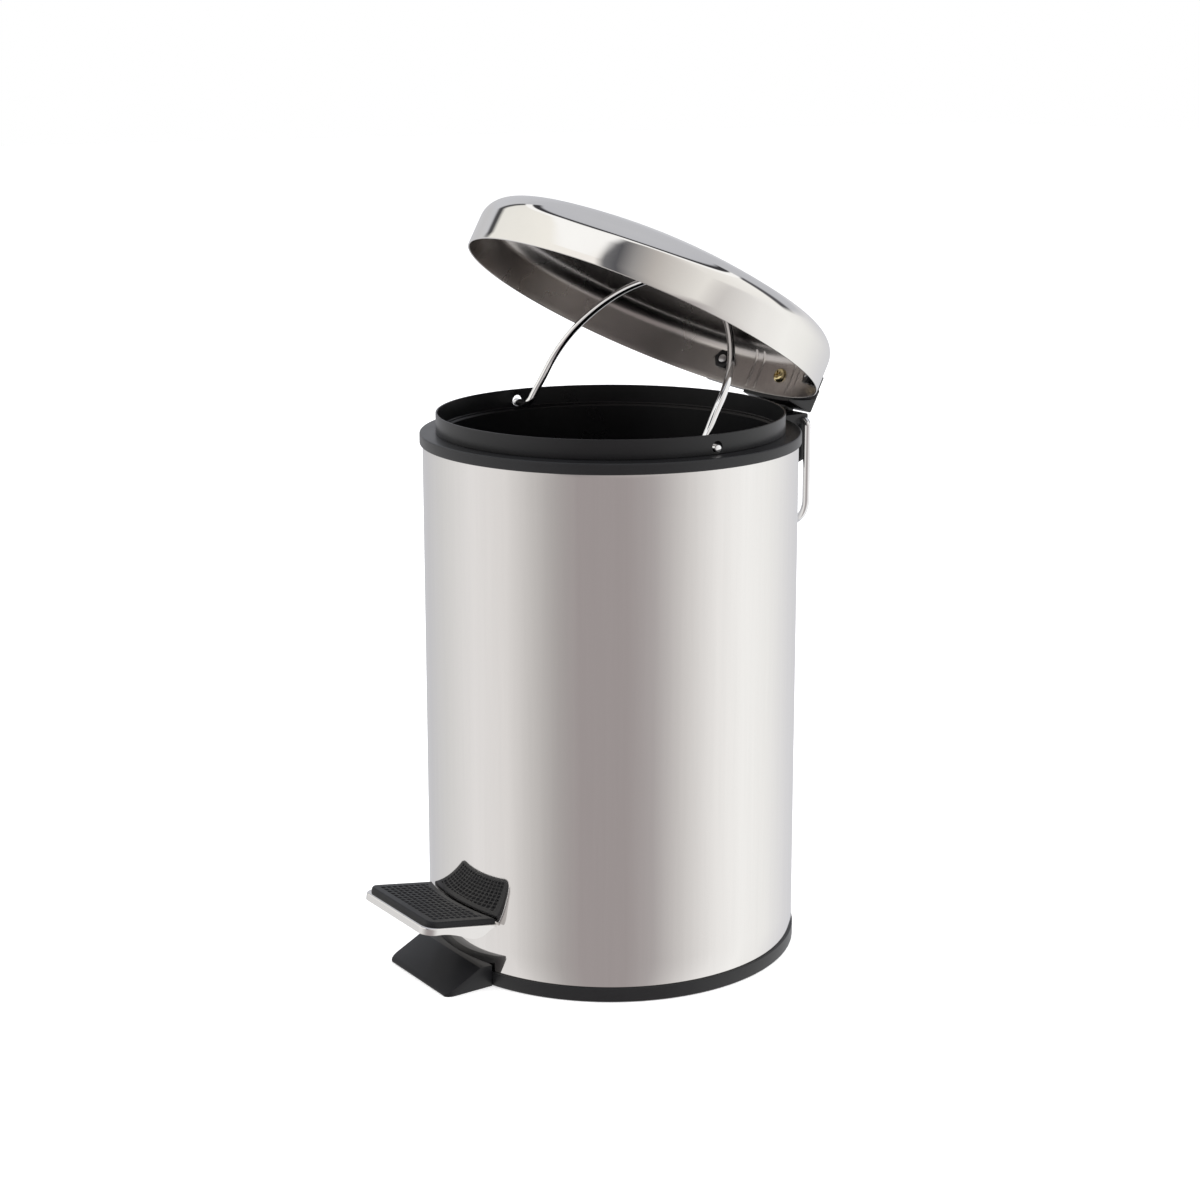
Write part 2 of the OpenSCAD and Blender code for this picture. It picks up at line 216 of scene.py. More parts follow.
def arc(cx, cz, r, a0, a1, n):
    return [(cx + r * math.cos(math.radians(a0 + (a1 - a0) * i / n)), cz + r * math.sin(math.radians(a0 + (a1 - a0) * i / n))) for i in range(n + 1)]


def cut(ob, tool, sharp=35, bevel=0):
    md = ob.modifiers.new("cut", 'BOOLEAN')
    md.operation = 'DIFFERENCE'; md.solver = 'EXACT'; md.object = tool
    baked(ob, sharp)
    me = tool.data
    bpy.data.objects.remove(tool)
    return ob


def join_up(ob, other, sharp=35):
    md = ob.modifiers.new("join", 'BOOLEAN')
    md.operation = 'UNION'; md.solver = 'EXACT'; md.object = other
    baked(ob, sharp)
    bpy.data.objects.remove(other)
    return ob


def from_cad(node, name, mats, bevel=0.4, seg=3, angle=28):
    """the CAD node's own solid, copied, its flat faces merged and its edges rounded"""
    me = NODES[node].data.copy()
    me.name = name
    ob = bpy.data.objects.new(name, me)
    scene.collection.objects.link(ob)
    me.materials.clear()
    for m in mats:
        me.materials.append(m)
    bm = bmesh.new(); bm.from_mesh(me)
    bmesh.ops.remove_doubles(bm, verts=bm.verts, dist=2e-6)
    bmesh.ops.dissolve_limit(bm, angle_limit=math.radians(0.8), verts=bm.verts, edges=bm.edges, delimit={'SHARP'})
    bmesh.ops.recalc_face_normals(bm, faces=bm.faces)
    for f in bm.faces:
        f.material_index = 0
    bm.to_mesh(me); bm.free()
    if bevel:
        bev(ob, bevel, seg, angle)
    shade(ob, 32)
    return ob


# ------------------------------------------------------------------ materials
def new_mat(name, color, rough, metal=0.0, spec=0.5, coat=0.0, coat_rough=0.1, aniso=0.0):
    m = bpy.data.materials.new(name)
    m.use_nodes = True
    b = m.node_tree.nodes["Principled BSDF"]
    b.inputs["Base Color"].default_value = (*color, 1)
    b.inputs["Roughness"].default_value = rough
    b.inputs["Metallic"].default_value = metal
    b.inputs["Specular IOR Level"].default_value = spec
    b.inputs["Coat Weight"].default_value = coat
    b.inputs["Coat Roughness"].default_value = coat_rough
    b.inputs["Anisotropic"].default_value = aniso
    return m, m.node_tree, b


def node(nt, kind, **kw):
    n = nt.nodes.new(kind)
    for k, v in kw.items():
        setattr(n, k, v)
    return n


def noise(nt, scale, detail=4.0, stretch=(1, 1, 1), rough=0.5):
    tc = node(nt, "ShaderNodeTexCoord")
    mp = node(nt, "ShaderNodeMapping")
    mp.inputs["Scale"].default_value = stretch
    nz = node(nt, "ShaderNodeTexNoise")
    nz.inputs["Scale"].default_value = scale
    nz.inputs["Detail"].default_value = detail
    nz.inputs["Roughness"].default_value = rough
    nt.links.new(tc.outputs["Object"], mp.inputs["Vector"])
    nt.links.new(mp.outputs["Vector"], nz.inputs["Vector"])
    return nz


def ramp(nt, src, stops):
    r = node(nt, "ShaderNodeValToRGB")
    el = r.color_ramp.elements
    while len(el) < len(stops):
        el.new(0.5)
    for e, (p, c) in zip(el, stops):
        e.position = p
        e.color = (c, c, c, 1) if isinstance(c, (int, float)) else (*c, 1)
    nt.links.new(src, r.inputs["Fac"])
    return r


def bump(nt, b, height, strength, dist):
    bp = node(nt, "ShaderNodeBump")
    bp.inputs["Strength"].default_value = strength
    bp.inputs["Distance"].default_value = dist
    nt.links.new(height, bp.inputs["Height"])
    nt.links.new(bp.outputs["Normal"], b.inputs["Normal"])
    return bp


def steel(name, color, rough0, rough1, streak=(60, 60, 2.0), bump_k=0.0):
    """polished steel with very fine polishing streaks and faint handling marks"""
    m, nt, b = new_mat(name, color, rough0, 1.0)
    n1 = noise(nt, 9.0, 5.0, streak, 0.6)
    n2 = noise(nt, 14.0, 3.0, (1, 1, 1), 0.5)
    mix = node(nt, "ShaderNodeMix", data_type='FLOAT')
    mix.inputs["Factor"].default_value = 0.35
    nt.links.new(n1.outputs["Fac"], mix.inputs["A"])
    nt.links.new(n2.outputs["Fac"], mix.inputs["B"])
    mr = node(nt, "ShaderNodeMapRange")
    mr.inputs["From Min"].default_value = 0.3
    mr.inputs["From Max"].default_value = 0.7
    mr.inputs["To Min"].default_value = rough0
    mr.inputs["To Max"].default_value = rough1
    nt.links.new(mix.outputs["Result"], mr.inputs["Value"])
    nt.links.new(mr.outputs["Result"], b.inputs["Roughness"])
    cr = ramp(nt, n1.outputs["Fac"], [(0.3, tuple(c * 0.975 for c in color)), (0.7, color)])
    nt.links.new(cr.outputs["Color"], b.inputs["Base Color"])
    if bump_k:
        bump(nt, b, n1.outputs["Fac"], bump_k, 0.0001)
    return m


def plastic(name, color, rough0, rough1, grain=900.0, bump_k=0.12, spec=0.5):
    """moulded plastic with a fine spark-eroded grain"""
    m, nt, b = new_mat(name, color, rough0, 0.0, spec)
    g = noise(nt, grain, 2.0, (1, 1, 1), 0.5)
    w = noise(nt, 22.0, 4.0, (1, 1, 1), 0.55)
    mr = node(nt, "ShaderNodeMapRange")
    mr.inputs["From Min"].default_value = 0.3
    mr.inputs["From Max"].default_value = 0.7
    mr.inputs["To Min"].default_value = rough0
    mr.inputs["To Max"].default_value = rough1
    nt.links.new(w.outputs["Fac"], mr.inputs["Value"])
    nt.links.new(mr.outputs["Result"], b.inputs["Roughness"])
    cr = ramp(nt, w.outputs["Fac"], [(0.35, tuple(c * 0.85 for c in color)), (0.65, tuple(c * 1.12 for c in color))])
    nt.links.new(cr.outputs["Color"], b.inputs["Base Color"])
    bump(nt, b, g.outputs["Fac"], bump_k, 0.00012)
    return m


M_SHELL = steel("polished_steel", (0.84, 0.825, 0.81), 0.035, 0.06, (40, 40, 1.0))
M_LID = steel("polished_steel_lid", (0.84, 0.825, 0.80), 0.03, 0.06, (6, 6, 6))
M_LID_IN = steel("steel_inside", (0.60, 0.57, 0.55), 0.20, 0.30, (2.5, 2.5, 2.5), 0.0)
M_CHROME = steel("chrome_wire", (0.88, 0.88, 0.885), 0.035, 0.07, (30, 30, 30))
M_PEDAL = steel("pedal_chrome", (0.85, 0.84, 0.83), 0.05, 0.11, (12, 12, 12), 0.02)
M_ZINC = steel("zinc_steel", (0.60, 0.60, 0.61), 0.22, 0.38, (30, 30, 30), 0.1)
M_LEVER = steel("lever_steel", (0.42, 0.42, 0.43), 0.25, 0.4, (20, 60, 20), 0.1)
M_BRASS = steel("brass_screw", (0.78, 0.66, 0.36), 0.12, 0.22, (20, 20, 20), 0.05)
M_BLACK = plastic("black_plastic", (0.0105, 0.0108, 0.0122), 0.30, 0.40, 1400.0, 0.08, 0.42)
M_BUCKET = plastic("bucket_plastic", (0.0085, 0.0088, 0.010), 0.27, 0.38, 1100.0, 0.08, 0.42)
M_FOOT = plastic("foot_plastic", (0.0075, 0.0078, 0.0095), 0.34, 0.44, 1400.0, 0.08, 0.35)
M_RUBBER = plastic("tread_rubber", (0.0068, 0.0072, 0.0088), 0.36, 0.50, 1800.0, 0.10, 0.36)
M_FEET = plastic("feet_rubber", (0.03, 0.03, 0.03), 0.6, 0.75, 1500.0, 0.2, 0.35)


def place(ob, body, slot=None, *nodes):
    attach(ob, body)
    if nodes:
        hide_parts(*nodes)
    return ob


# ------------------------------------------------------------------ outer shell: rolled sheet with its two slots
def build_shell():
    wins = [(-90 - 7.1, -90 + 7.1, 18.2, 32.2), (90 - 3.58, 90 + 3.58, 216.5, SHELL_Z1)]
    segs = 384
    angs = set(round(360 * i / segs - 180, 5) for i in range(segs))
    for w in wins:
        angs = set(a for a in angs if min(abs(a - w[0]), abs(a - w[1])) > 0.3)
        angs |= {round(w[0], 5), round(w[1], 5)}
    angs = sorted(angs)
    zs = [SHELL_Z0, SHELL_Z0 + 0.25, 18.2, 32.2, 60, 110, 160, 200, 216.5, SHELL_Z1 - 0.3, SHELL_Z1]
    n, m = len(angs), len(zs)
    verts, faces = [], []
    for a in angs:
        for k, z in enumerate(zs):
            r = SHELL_R - (0.12 if k in (0, m - 1) else 0.0)
            verts.append((r * math.cos(math.radians(a)), r * math.sin(math.radians(a)), z))
    for i in range(n):
        j = (i + 1) % n
        a = angs[i]
        b = angs[j] + (360 if j == 0 else 0)
        mid = (a + b) / 2
        for k in range(m - 1):
            zm = (zs[k] + zs[k + 1]) / 2
            if any(w[0] < mid < w[1] and w[2] < zm < w[3] for w in wins):
                continue
            faces.append((i * m + k, j * m + k, j * m + k + 1, i * m + k + 1))
    ob = make("shell_sheet", verts, faces, [M_SHELL], I4, 40)
    md = ob.modifiers.new("t", 'SOLIDIFY')
    md.thickness = SHELL_T * MM; md.offset = -1.0
    return baked(ob, 40)


place(build_shell(), "body", "shell_steel", "outer_shell")

# ------------------------------------------------------------------ base: ring and floor, toe piece, axle lugs
base_prof = fillet([(0, 0.0), (BASE_R, 0.0), (BASE_R, SHELL_Z0), (84.35, SHELL_Z0), (84.35, 12.2), (83, 12.2), (83, 4.5), (0, 4.5)],
                   [0, 0.7, 0.35, 0, 0.2, 0.2, 1.0, 0])
base = lathe("base_ring", base_prof, 288, [M_BLACK])
notch = make("n", [(x, y, z) for x in (-10.5, 10.5) for y in (-90, -78) for z in (11, 25)],
             [(0, 1, 3, 2), (4, 6, 7, 5), (0, 4, 5, 1), (2, 3, 7, 6), (0, 2, 6, 4), (1, 5, 7, 3)], [M_BLACK])
cut(base, notch)
place(base, "body", "black_plastic", "base")


def toe():
    out = fillet([(-82.0, 0.0), (-105.3, 0.0), (-105.9, 0.9), (-88.0, 9.75), (-86.3, 9.75), (-82.0, 9.75)], [0, 0.5, 0.7, 0.7, 0.5, 0])
    ob = prism("toe_piece", out, -26, 26, [M_FOOT], bevel=0)
    pl = fillet([(-25.5, -60), (-25.5, -106), (25.5, -106), (25.5, -60)], [0, 5.2, 5.2, 0], 8)
    n = len(pl)
    v = [(x, y, -3) for x, y in pl] + [(x, y, 14) for x, y in pl]
    f = [tuple(range(n))[::-1], tuple(range(n, 2 * n))] + [(k, (k + 1) % n, n + (k + 1) % n, n + k) for k in range(n)]
    plan = make("plan", v, f, [M_FOOT])
    md = ob.modifiers.new("i", 'BOOLEAN'); md.operation = 'INTERSECT'; md.solver = 'EXACT'; md.object = plan
    baked(ob); bpy.data.objects.remove(plan)
    c = lathe("c", [(0, -2), (84.9, -2), (84.9, 6.38), (85.06, 6.42), (85.06, 20), (0, 20)], 192, [M_FOOT])
    cut(ob, c)
    return bev(ob, 0.55, 3, 28)


place(toe(), "body", "black_plastic")
for s in (-1, 1):
    ob = prism("axle_lug", [(-36, 4), (-24, 4), (-24, 27), (-27, 32), (-33, 32), (-36, 27)], s * 13 - 2.3, s * 13 + 2.3, [M_BLACK], bevel=0.5)
    hole = lathe("h", [(0, -20), (2.02, -20), (2.02, 20), (0, 20)], 32, [M_BLACK],
                 Matrix.Translation((0, -30, 28)) @ Matrix.Rotation(math.radians(90), 4, 'Y'))
    cut(ob, hole)
    place(ob, "body", "black_plastic")

# ------------------------------------------------------------------ collar
col = fillet([(77.6, 236.0), (82.9, 231.5), (82.9, 224), (84.35, 224), (84.35, 234), (86.3, 234), (86.3, COLLAR_Z), (77.6, COLLAR_Z)],
             [0.3, 0, 0.3, 0.4, 0, 0.5, 0.9, 0.3])
place(lathe("collar_ring", col, 300, [M_BLACK], a0=90 + 5.75, a1=90 - 3.8 + 360), "body", "black_plastic", "top_collar")

# ------------------------------------------------------------------ bucket
T = BUCKET_T
bp = fillet([(0, BUCKET_Z0), (BUCKET_R0 - 0.4, BUCKET_Z0), (75, 215), (77.3, 219), (77.3, COLLAR_Z), (NECK_R, COLLAR_Z), (NECK_R, RIM_Z),
             (NECK_R - T, RIM_Z), (NECK_R - T, COLLAR_Z + 0.3), (77.3 - T, COLLAR_Z - 1.1), (77.3 - T, 219.4), (75 - T, 215.3),
             (BUCKET_R0 - 1.2, BUCKET_Z0 + 0.9), (0, BUCKET_Z0 + 0.9)],
            [0, 3.0, 0.8, 0.8, 0, 0.25, 0.3, 0.3, 0.4, 0.5, 0.8, 0.8, 2.4, 0], 5)
bucket = lathe("bucket_wall", bp, 288, [M_BUCKET])
for s in (-1, 1):
    hole = lathe("h", [(0, -4), (2.7, -4), (2.7, 4), (0, 4)], 40, [M_BUCKET],
                 Matrix.Translation((s * 78, 0, BAIL_Z + 0.6)) @ Matrix.Rotation(math.radians(90), 4, 'Y'))
    cut(bucket, hole, 40)
place(bucket, "body", "bucket_plastic", "bucket")

# ------------------------------------------------------------------ bracket, lid block: CAD solids with moulded edges
place(from_cad("hinge_bracket", "bracket_moulding", [M_BLACK], 0.35), "body", "black_plastic", "hinge_bracket")
place(from_cad("lid_hinge_arm", "lid_block_moulding", [M_BLACK], 0.35), "lid", "black_plastic", "lid_hinge_arm")


# ------------------------------------------------------------------ lid
def lid_outline():
    def side(t, n):
        pts = []
        for i in range(n + 1):
            k = math.radians(74 * i / n)
            pts.append((LID_R - 0.15 - LID_SH + (LID_SH - t) * math.cos(k), LID_SKIRT + (LID_SH - t) * math.sin(k)))
        r0, z0 = pts[-1]
        top = LID_H - t - 0.05
        for i in range(35, -1, -1):
            pts.append((r0 * i / 36, top - (top - z0) * (i / 36) ** 2))
        return pts
    out = [(LID_R - 0.04, 0.12), (LID_R, 0.35), (LID_R - 0.02, 3.0), (LID_R - 0.09, 11.0)] + side(0, 22)
    inn = [(LID_R - LID_T + 0.03, 0.12), (LID_R - LID_T, 0.35), (LID_R - LID_T - 0.02, 3.0), (LID_R - LID_T - 0.09, 11.0)] + side(LID_T, 22)
    return out, inn


o_, i_ = lid_outline()
prof = [(LID_R - 0.2, 0.0)] + o_ + i_[::-1] + [(LID_R - LID_T + 0.2, 0.0)]
no = len(o_) + 1
lid = lathe("lid_sheet", prof, 360, [M_LID, M_LID_IN], LID_M @ Matrix.Translation((0, 0, LID_Z0)), sharp=50,
            mat_of=lambda k: 1 if no <= k < len(prof) - 1 else 0)
place(lid, "lid", "lid_steel", "lid_shell")


# pressed ribs inside the skirt beside the block
def rib(a_deg, w, h):
    verts, faces = [], []
    zs = [1.5, 3, 5, 9, 13, 16, 18.5, 20]
    prof_r = [0, 0.5, 1.0, 0.5, 0]
    xs = [-1, -0.55, 0, 0.55, 1]
    for z in zs:
        fade = min(1, (z - 1.5) / 2.5, (20 - z) / 3.0) if 1.5 < z < 20 else 0
        r0 = LID_R - LID_T - 0.09 * z / 11 - 0.02
        if z > LID_SKIRT:
            r0 = LID_R - 0.15 - LID_SH + (LID_SH - LID_T) * math.cos(math.asin(min(1, (z - LID_SKIRT) / (LID_SH - LID_T))))
        for x, p in zip(xs, prof_r):
            a = math.radians(90 + a_deg + x * w)
            r = r0 + 0.02 - h * p * fade
            verts.append((r * math.cos(a), r * math.sin(a), z))
    for i in range(len(zs) - 1):
        for k in range(4):
            faces.append((i * 5 + k, i * 5 + k + 1, (i + 1) * 5 + k + 1, (i + 1) * 5 + k))
    return make("lid_rib", verts, faces, [M_LID_IN], LID_M @ Matrix.Translation((0, 0, LID_Z0)), 60)


for a in (11.4, 8.0, -8.0, -11.4):
    r_ = rib(a, 0.55, 0.32)
    place(r_, "lid", "lid_steel")


# screw with a cross recess, hexagon nuts with studs
def screw():
    m = LID_M @ Matrix.Rotation(math.radians(-1.7), 4, 'Z') @ Matrix.Translation((0, LID_R - LID_T - 0.38, 252.0)) @ Matrix.Rotation(math.radians(90), 4, 'X')
    pr = [(0, 0), (3.5, 0), (3.5, 0.25), (3.35, 0.7), (2.9, 1.15), (2.2, 1.42), (1.2, 1.55), (0, 1.58)]
    ob = lathe("screw_head", pr, 64, [M_BRASS], m, sharp=50)
    for ang in (0, 90):
        v = [(x, y, z) for x in (-2.0, 2.0) for y in (-0.38, 0.38) for z in (0.75, 3)]
        t = make("t", v, [(0, 1, 3, 2), (4, 6, 7, 5), (0, 4, 5, 1), (2, 3, 7, 6), (0, 2, 6, 4), (1, 5, 7, 3)], [M_BRASS],
                 m @ Matrix.Rotation(math.radians(ang + 25), 4, 'Z'))
        cut(ob, t, 40)
    return ob


place(screw(), "lid", "brass_screw", "lid_screw")


def nut(a):
    m = LID_M @ Matrix.Rotation(math.radians(a), 4, 'Z') @ Matrix.Translation((0, LID_R - LID_T - 0.45, 252.6)) @ Matrix.Rotation(math.radians(90), 4, 'X')
    pts = [(4.9 * math.cos(math.radians(60 * k)), 4.9 * math.sin(math.radians(60 * k))) for k in range(6)]
    v = [(x, y, 0) for x, y in pts] + [(x, y, 2.7) for x, y in pts]
    f = [tuple(range(6))[::-1], tuple(range(6, 12))] + [(k, (k + 1) % 6, 6 + (k + 1) % 6, 6 + k) for k in range(6)]
    ob = make("lid_nut", v, f, [M_BLACK], m)
    bev(ob, 0.5, 3)
    h = lathe("h", [(0, 1.4), (2.3, 1.4), (2.6, 3.4), (0, 3.4)], 40, [M_BLACK], m)
    cut(ob, h)
    st = lathe("lid_stud", [(0, 1.0), (2.0, 1.0), (2.0, 3.0), (1.7, 3.2), (0, 3.2)], 32, [M_ZINC], m, sharp=40)
    return ob, st


first = True
for a in (-22.8, 22.8):
    n_, s_ = nut(a)
    if first:
        place(n_, "lid", "black_plastic", "lid_nuts")
    else:
        place(n_, "lid", "black_plastic")
    place(s_, "lid", "zinc_steel")
    first = False

# ------------------------------------------------------------------ bail and carry handle
top = 71.8
t1, t2 = 34.8, 69.6
tx, tz = (top - 25) * math.cos(math.radians(t2)), 2.7 + (top - 25) * math.sin(math.radians(t2))
half = [(79.7, 0), (78.6, 0), (76.4, 0), (73.5, 0)] + arc(71.8, 3.6, 3.6, 270, 180, 12) + [(68.1, 6.0), (67.85, 9.0), (67.5, 12.0), (67.2, 15.0)] \
    + arc(BAIL_LEG - 45, 18, 45, 1.5, t1, 18) + arc(0, 2.7, top, t1, t2, 26)[1:] + arc(tx, tz, 25, t2, 90, 12)[1:]
path = [(x, 0, z) for x, z in half] + [(0, 0, tz + 25)] + [(-x, 0, z) for x, z in reversed(half)]
place(tube("bail_wire", path, BAIL_R, [M_CHROME], Matrix.Translation((0, 0, BAIL_Z)) @ Matrix.Rotation(math.radians(-BAIL_LEAN), 4, 'X'), 24),
      "bail", "chrome_wire", "bail_handle")

half = [(14.5, 0), (15.6, 0), (16.8, 0)] + arc(GRIP_HW - 2.6, 2.6, 2.6, 270, 360, 10) + [(GRIP_HW, 10), (GRIP_HW, 20), (GRIP_HW, 30)] \
    + arc(GRIP_HW - 12.5, GRIP_L - 12.5, 12.5, 0, 90, 20)
path = [(x, 0, -z) for x, z in half] + [(0, 0, -GRIP_L)] + [(-x, 0, -z) for x, z in reversed(half)]
place(tube("carry_wire", path, GRIP_R, [M_CHROME], Matrix.Translation((0, GRIP_Y, GRIP_Z)), 24), "grip", "chrome_wire", "carry_handle")


# ------------------------------------------------------------------ tread pad: waffle grid with a plain border
def tread():
    r_c = 4.5
    slope = math.radians(PAD_SLOPE)
    cs, sn = math.cos(slope), math.sin(slope)

    def y_front(x):
        ax = abs(x)
        if ax <= PAD_HW - r_c:
            return 0.0
        d = ax - (PAD_HW - r_c)
        return r_c - math.sqrt(max(0.0, r_c * r_c - d * d))

    def y_rear(x):
        # the body arc, seen in the slope's own frame
        return (PAD_F - math.sqrt(85.6 ** 2 - x * x)) / cs
    NX, NY = 230, 110
    pitch = 3.0

    def height(x, y, de):
        if de < 0.9:
            e = 0.9 - de
            z = -(0.9 - math.sqrt(max(0.0, 0.81 - e * e)))
        else:
            z = 0.0
        m = min(1.0, max(0.0, (de - 3.3) / 0.35))
        if m > 0:
            u = (x / pitch) % 1.0
            v = ((y - 3.6) / pitch) % 1.0
            du = abs(u - 0.5) * pitch
            dv = abs(v - 0.5) * pitch
            k = max(du, dv)
            # square dimple with sloped walls
            d = min(1.0, max(0.0, (1.16 - k) / 0.38))
            d = d * d * (3 - 2 * d)
            z -= 0.62 * d * m
        return z
    xs = []
    for i in range(NX + 1):
        s = -1 + 2 * i / NX
        xs.append(PAD_HW * (0.985 * s + 0.015 * math.sin(s * math.pi / 2)))
    verts, faces = [], []
    for x in xs:
        yf, yr = y_front(x), y_rear(x)
        for j in range(NY + 1):
            t = j / NY
            y = yf + (yr - yf) * t
            de = min(y - yf if abs(x) <= PAD_HW - r_c else 99, PAD_HW - abs(x), (yr - y) * 0.98)
            if abs(x) > PAD_HW - r_c and y < r_c:
                de = min(de, r_c - math.hypot(abs(x) - (PAD_HW - r_c), y - r_c))
            elif abs(x) > PAD_HW - r_c:
                de = min(de, 99)
            else:
                de = min(de, y)
            verts.append((x, y, height(x, y, max(0.0, de))))
    w = NY + 1
    for i in range(NX):
        for j in range(NY):
            faces.append((i * w + j, (i + 1) * w + j, (i + 1) * w + j + 1, i * w + j + 1))
    # side wall and underside
    loop = [i * w for i in range(NX + 1)] + [NX * w + j for j in range(1, NY + 1)] + [i * w + NY for i in range(NX - 1, -1, -1)] + [j for j in range(NY - 1, 0, -1)]
    b0 = len(verts)
    for k in loop:
        x, y, z = verts[k]
        verts.append((x, y, -PAD_T + 0.02))
    L = len(loop)
    for k in range(L):
        k2 = (k + 1) % L
        faces.append((loop[k2], loop[k], b0 + k, b0 + k2))
    faces.append(tuple(b0 + k for k in range(L)))
    return make("tread_rubber_pad", verts, faces, [M_RUBBER], PAD_M, 50)


place(tread(), "pedal", "tread_rubber", "tread_pad")


# ------------------------------------------------------------------ pedal plate: pressed sheet, edges turned down
def plate():
    r_c = 6.0
    hw = 28.5
    front = -2.4
    cs = math.cos(math.radians(PAD_SLOPE))

    def outline(n_corner=12):
        pts = []
        yr = (PAD_F - math.sqrt(85.6 ** 2 - hw * hw)) / cs
        for k in range(26):
            pts.append((-hw, yr + (front + r_c - yr) * k / 25))
        for k in range(1, n_corner + 1):
            a = math.radians(180 + 90 * k / n_corner)
            pts.append((-hw + r_c + r_c * math.cos(a), front + r_c + r_c * math.sin(a)))
        for k in range(1, 30):
            pts.append((-hw + r_c + (2 * hw - 2 * r_c) * k / 30, front))
        for k in range(n_corner + 1):
            a = math.radians(270 + 90 * k / n_corner)
            pts.append((hw - r_c + r_c * math.cos(a), front + r_c + r_c * math.sin(a)))
        for k in range(1, 26):
            pts.append((hw, front + r_c + (yr - front - r_c) * k / 25))
        return pts

    def depth(y):
        # how far the turned-down edge reaches at a distance along the slope
        tab = [(-2.4, -5.65), (2, -5.55), (6.6, -5.3), (10, -5.5), (14, -6.15), (17.5, -7.1), (20.5, -7.95), (23.5, -8.35), (26, -8.0), (28.5, -6.9), (31, -4.6), (33, -3.6), (60, -3.6)]
        for (a, za), (b, zb) in zip(tab, tab[1:]):
            if y <= b:
                s = (y - a) / (b - a)
                s = s * s * (3 - 2 * s) if False else s
                return za + (zb - za) * max(0, s)
        return tab[-1][1]
    out = outline()
    n = len(out)
    # inward normals
    def inset(pts, d):
        res = []
        for i, (x, y) in enumerate(pts):
            a = Vector(pts[max(0, i - 1)]); b = Vector(pts[min(n - 1, i + 1)])
            t = (b - a).normalized()
            nrm = Vector((-t.y, t.x))
            res.append((x + nrm.x * d, y + nrm.y * d))
        return res
    rnd = 0.9
    levels = []
    # top edge rounding then down the skirt
    for k in range(6):
        a = math.radians(90 - 90 * k / 5)
        levels.append((rnd - rnd * math.cos(a), -PAD_T - rnd + rnd * math.sin(a), None))
    verts, faces = [], []
    rings = []
    for d, z, _ in levels:
        pts = inset(out, d)
        rings.append([(x, y, z) for x, y in pts])
    zl = [0.25, 0.5, 0.75, 0.93, 1.0]
    pts = out
    for s in zl:
        rings.append([(x, y, -PAD_T - rnd + (depth(y) + PAD_T + rnd) * s) for x, y in pts])
    b_ = inset(out, 0.5)
    rings.append([(x, y, depth(y0) - 0.06) for (x, y), (x0, y0) in zip(b_, out)])
    b_ = inset(out, PLATE_T - 0.2)
    rings.append([(x, y, depth(y0)) for (x, y), (x0, y0) in zip(b_, out)])
    b_ = inset(out, PLATE_T)
    rings.append([(x, y, depth(y0) + 0.2) for (x, y), (x0, y0) in zip(b_, out)])
    rings.append([(x, y, min(-PAD_T - PLATE_T - 0.0, depth(y0) + 0.21) if depth(y0) + 0.2 > -PAD_T - PLATE_T else -PAD_T - PLATE_T) for (x, y), (x0, y0) in zip(b_, out)])
    for r in rings:
        verts += r
    R = len(rings)
    for i in range(R - 1):
        for k in range(n - 1):
            faces.append((i * n + k, i * n + k + 1, (i + 1) * n + k + 1, (i + 1) * n + k))
    # top and underside, closed along the rear arc
    def rear_pts(z, d):
        res = []
        x1 = hw - d
        for k in range(1, 40):
            x = x1 - 2 * x1 * k / 40
            res.append((x, (PAD_F - math.sqrt(85.6 ** 2 - x * x)) / cs, z))
        return res
    b0 = len(verts); top_r = rear_pts(-PAD_T, rnd); verts += top_r
    b1 = len(verts); bot_r = rear_pts(-PAD_T - PLATE_T, PLATE_T); verts += bot_r
    faces.append(tuple(range(n)) + tuple(range(b0, b1)))
    faces.append((tuple((R - 1) * n + k for k in range(n)) + tuple(range(b1, b1 + len(bot_r))))[::-1])
    # rear edge strip
    tl = [n - 1] + list(range(b0, b1)) + [0]
    bl = [(R - 1) * n + n - 1] + list(range(b1, b1 + len(bot_r))) + [(R - 1) * n]
    for k in range(len(tl) - 1):
        faces.append((tl[k], bl[k], bl[k + 1], tl[k + 1]))
    faces.append(tuple(i * n for i in range(R))[::-1])
    faces.append(tuple(i * n + n - 1 for i in range(R)))
    return make("pedal_pressing", verts, faces, [M_PEDAL], PAD_M, 50)


place(plate(), "pedal", "pedal_chrome", "pedal_plate")
place(from_cad("pedal_lever", "lever_strip", [M_LEVER], 0.3, 2), "pedal", "lever_steel", "pedal_lever")

# ------------------------------------------------------------------ CAD nodes that stay, with their finishes
for name, mat in (("rubber_feet", M_FEET), ("bracket_screws", M_ZINC), ("hinge_pin", M_ZINC), ("rod_guide", M_BLACK),
                  ("pedal_axle", M_ZINC), ("push_rod", M_ZINC), ("pedal_rivets", M_ZINC)):
    o = NODES[name]
    if not o.material_slots:
        o.data.materials.append(mat)
    for s in o.material_slots:
        s.material = mat

# ------------------------------------------------------------------ stage
CAM_AZ = math.radians(55.0)


def stage():
    floor_m, nt, b = new_mat("floor_white", (0.93, 0.93, 0.93), 0.9, 0.0, 0.0)
    b.inputs["Emission Color"].default_value = (1, 1, 1, 1)
    b.inputs["Emission Strength"].default_value = 0.5
    v = [(-9000, -9000, -0.2), (9000, -9000, -0.2), (9000, 9000, -0.2), (-9000, 9000, -0.2)]
    f = make("floor", v, [(0, 1, 2, 3)], [floor_m])
    f.visible_glossy = False


stage()

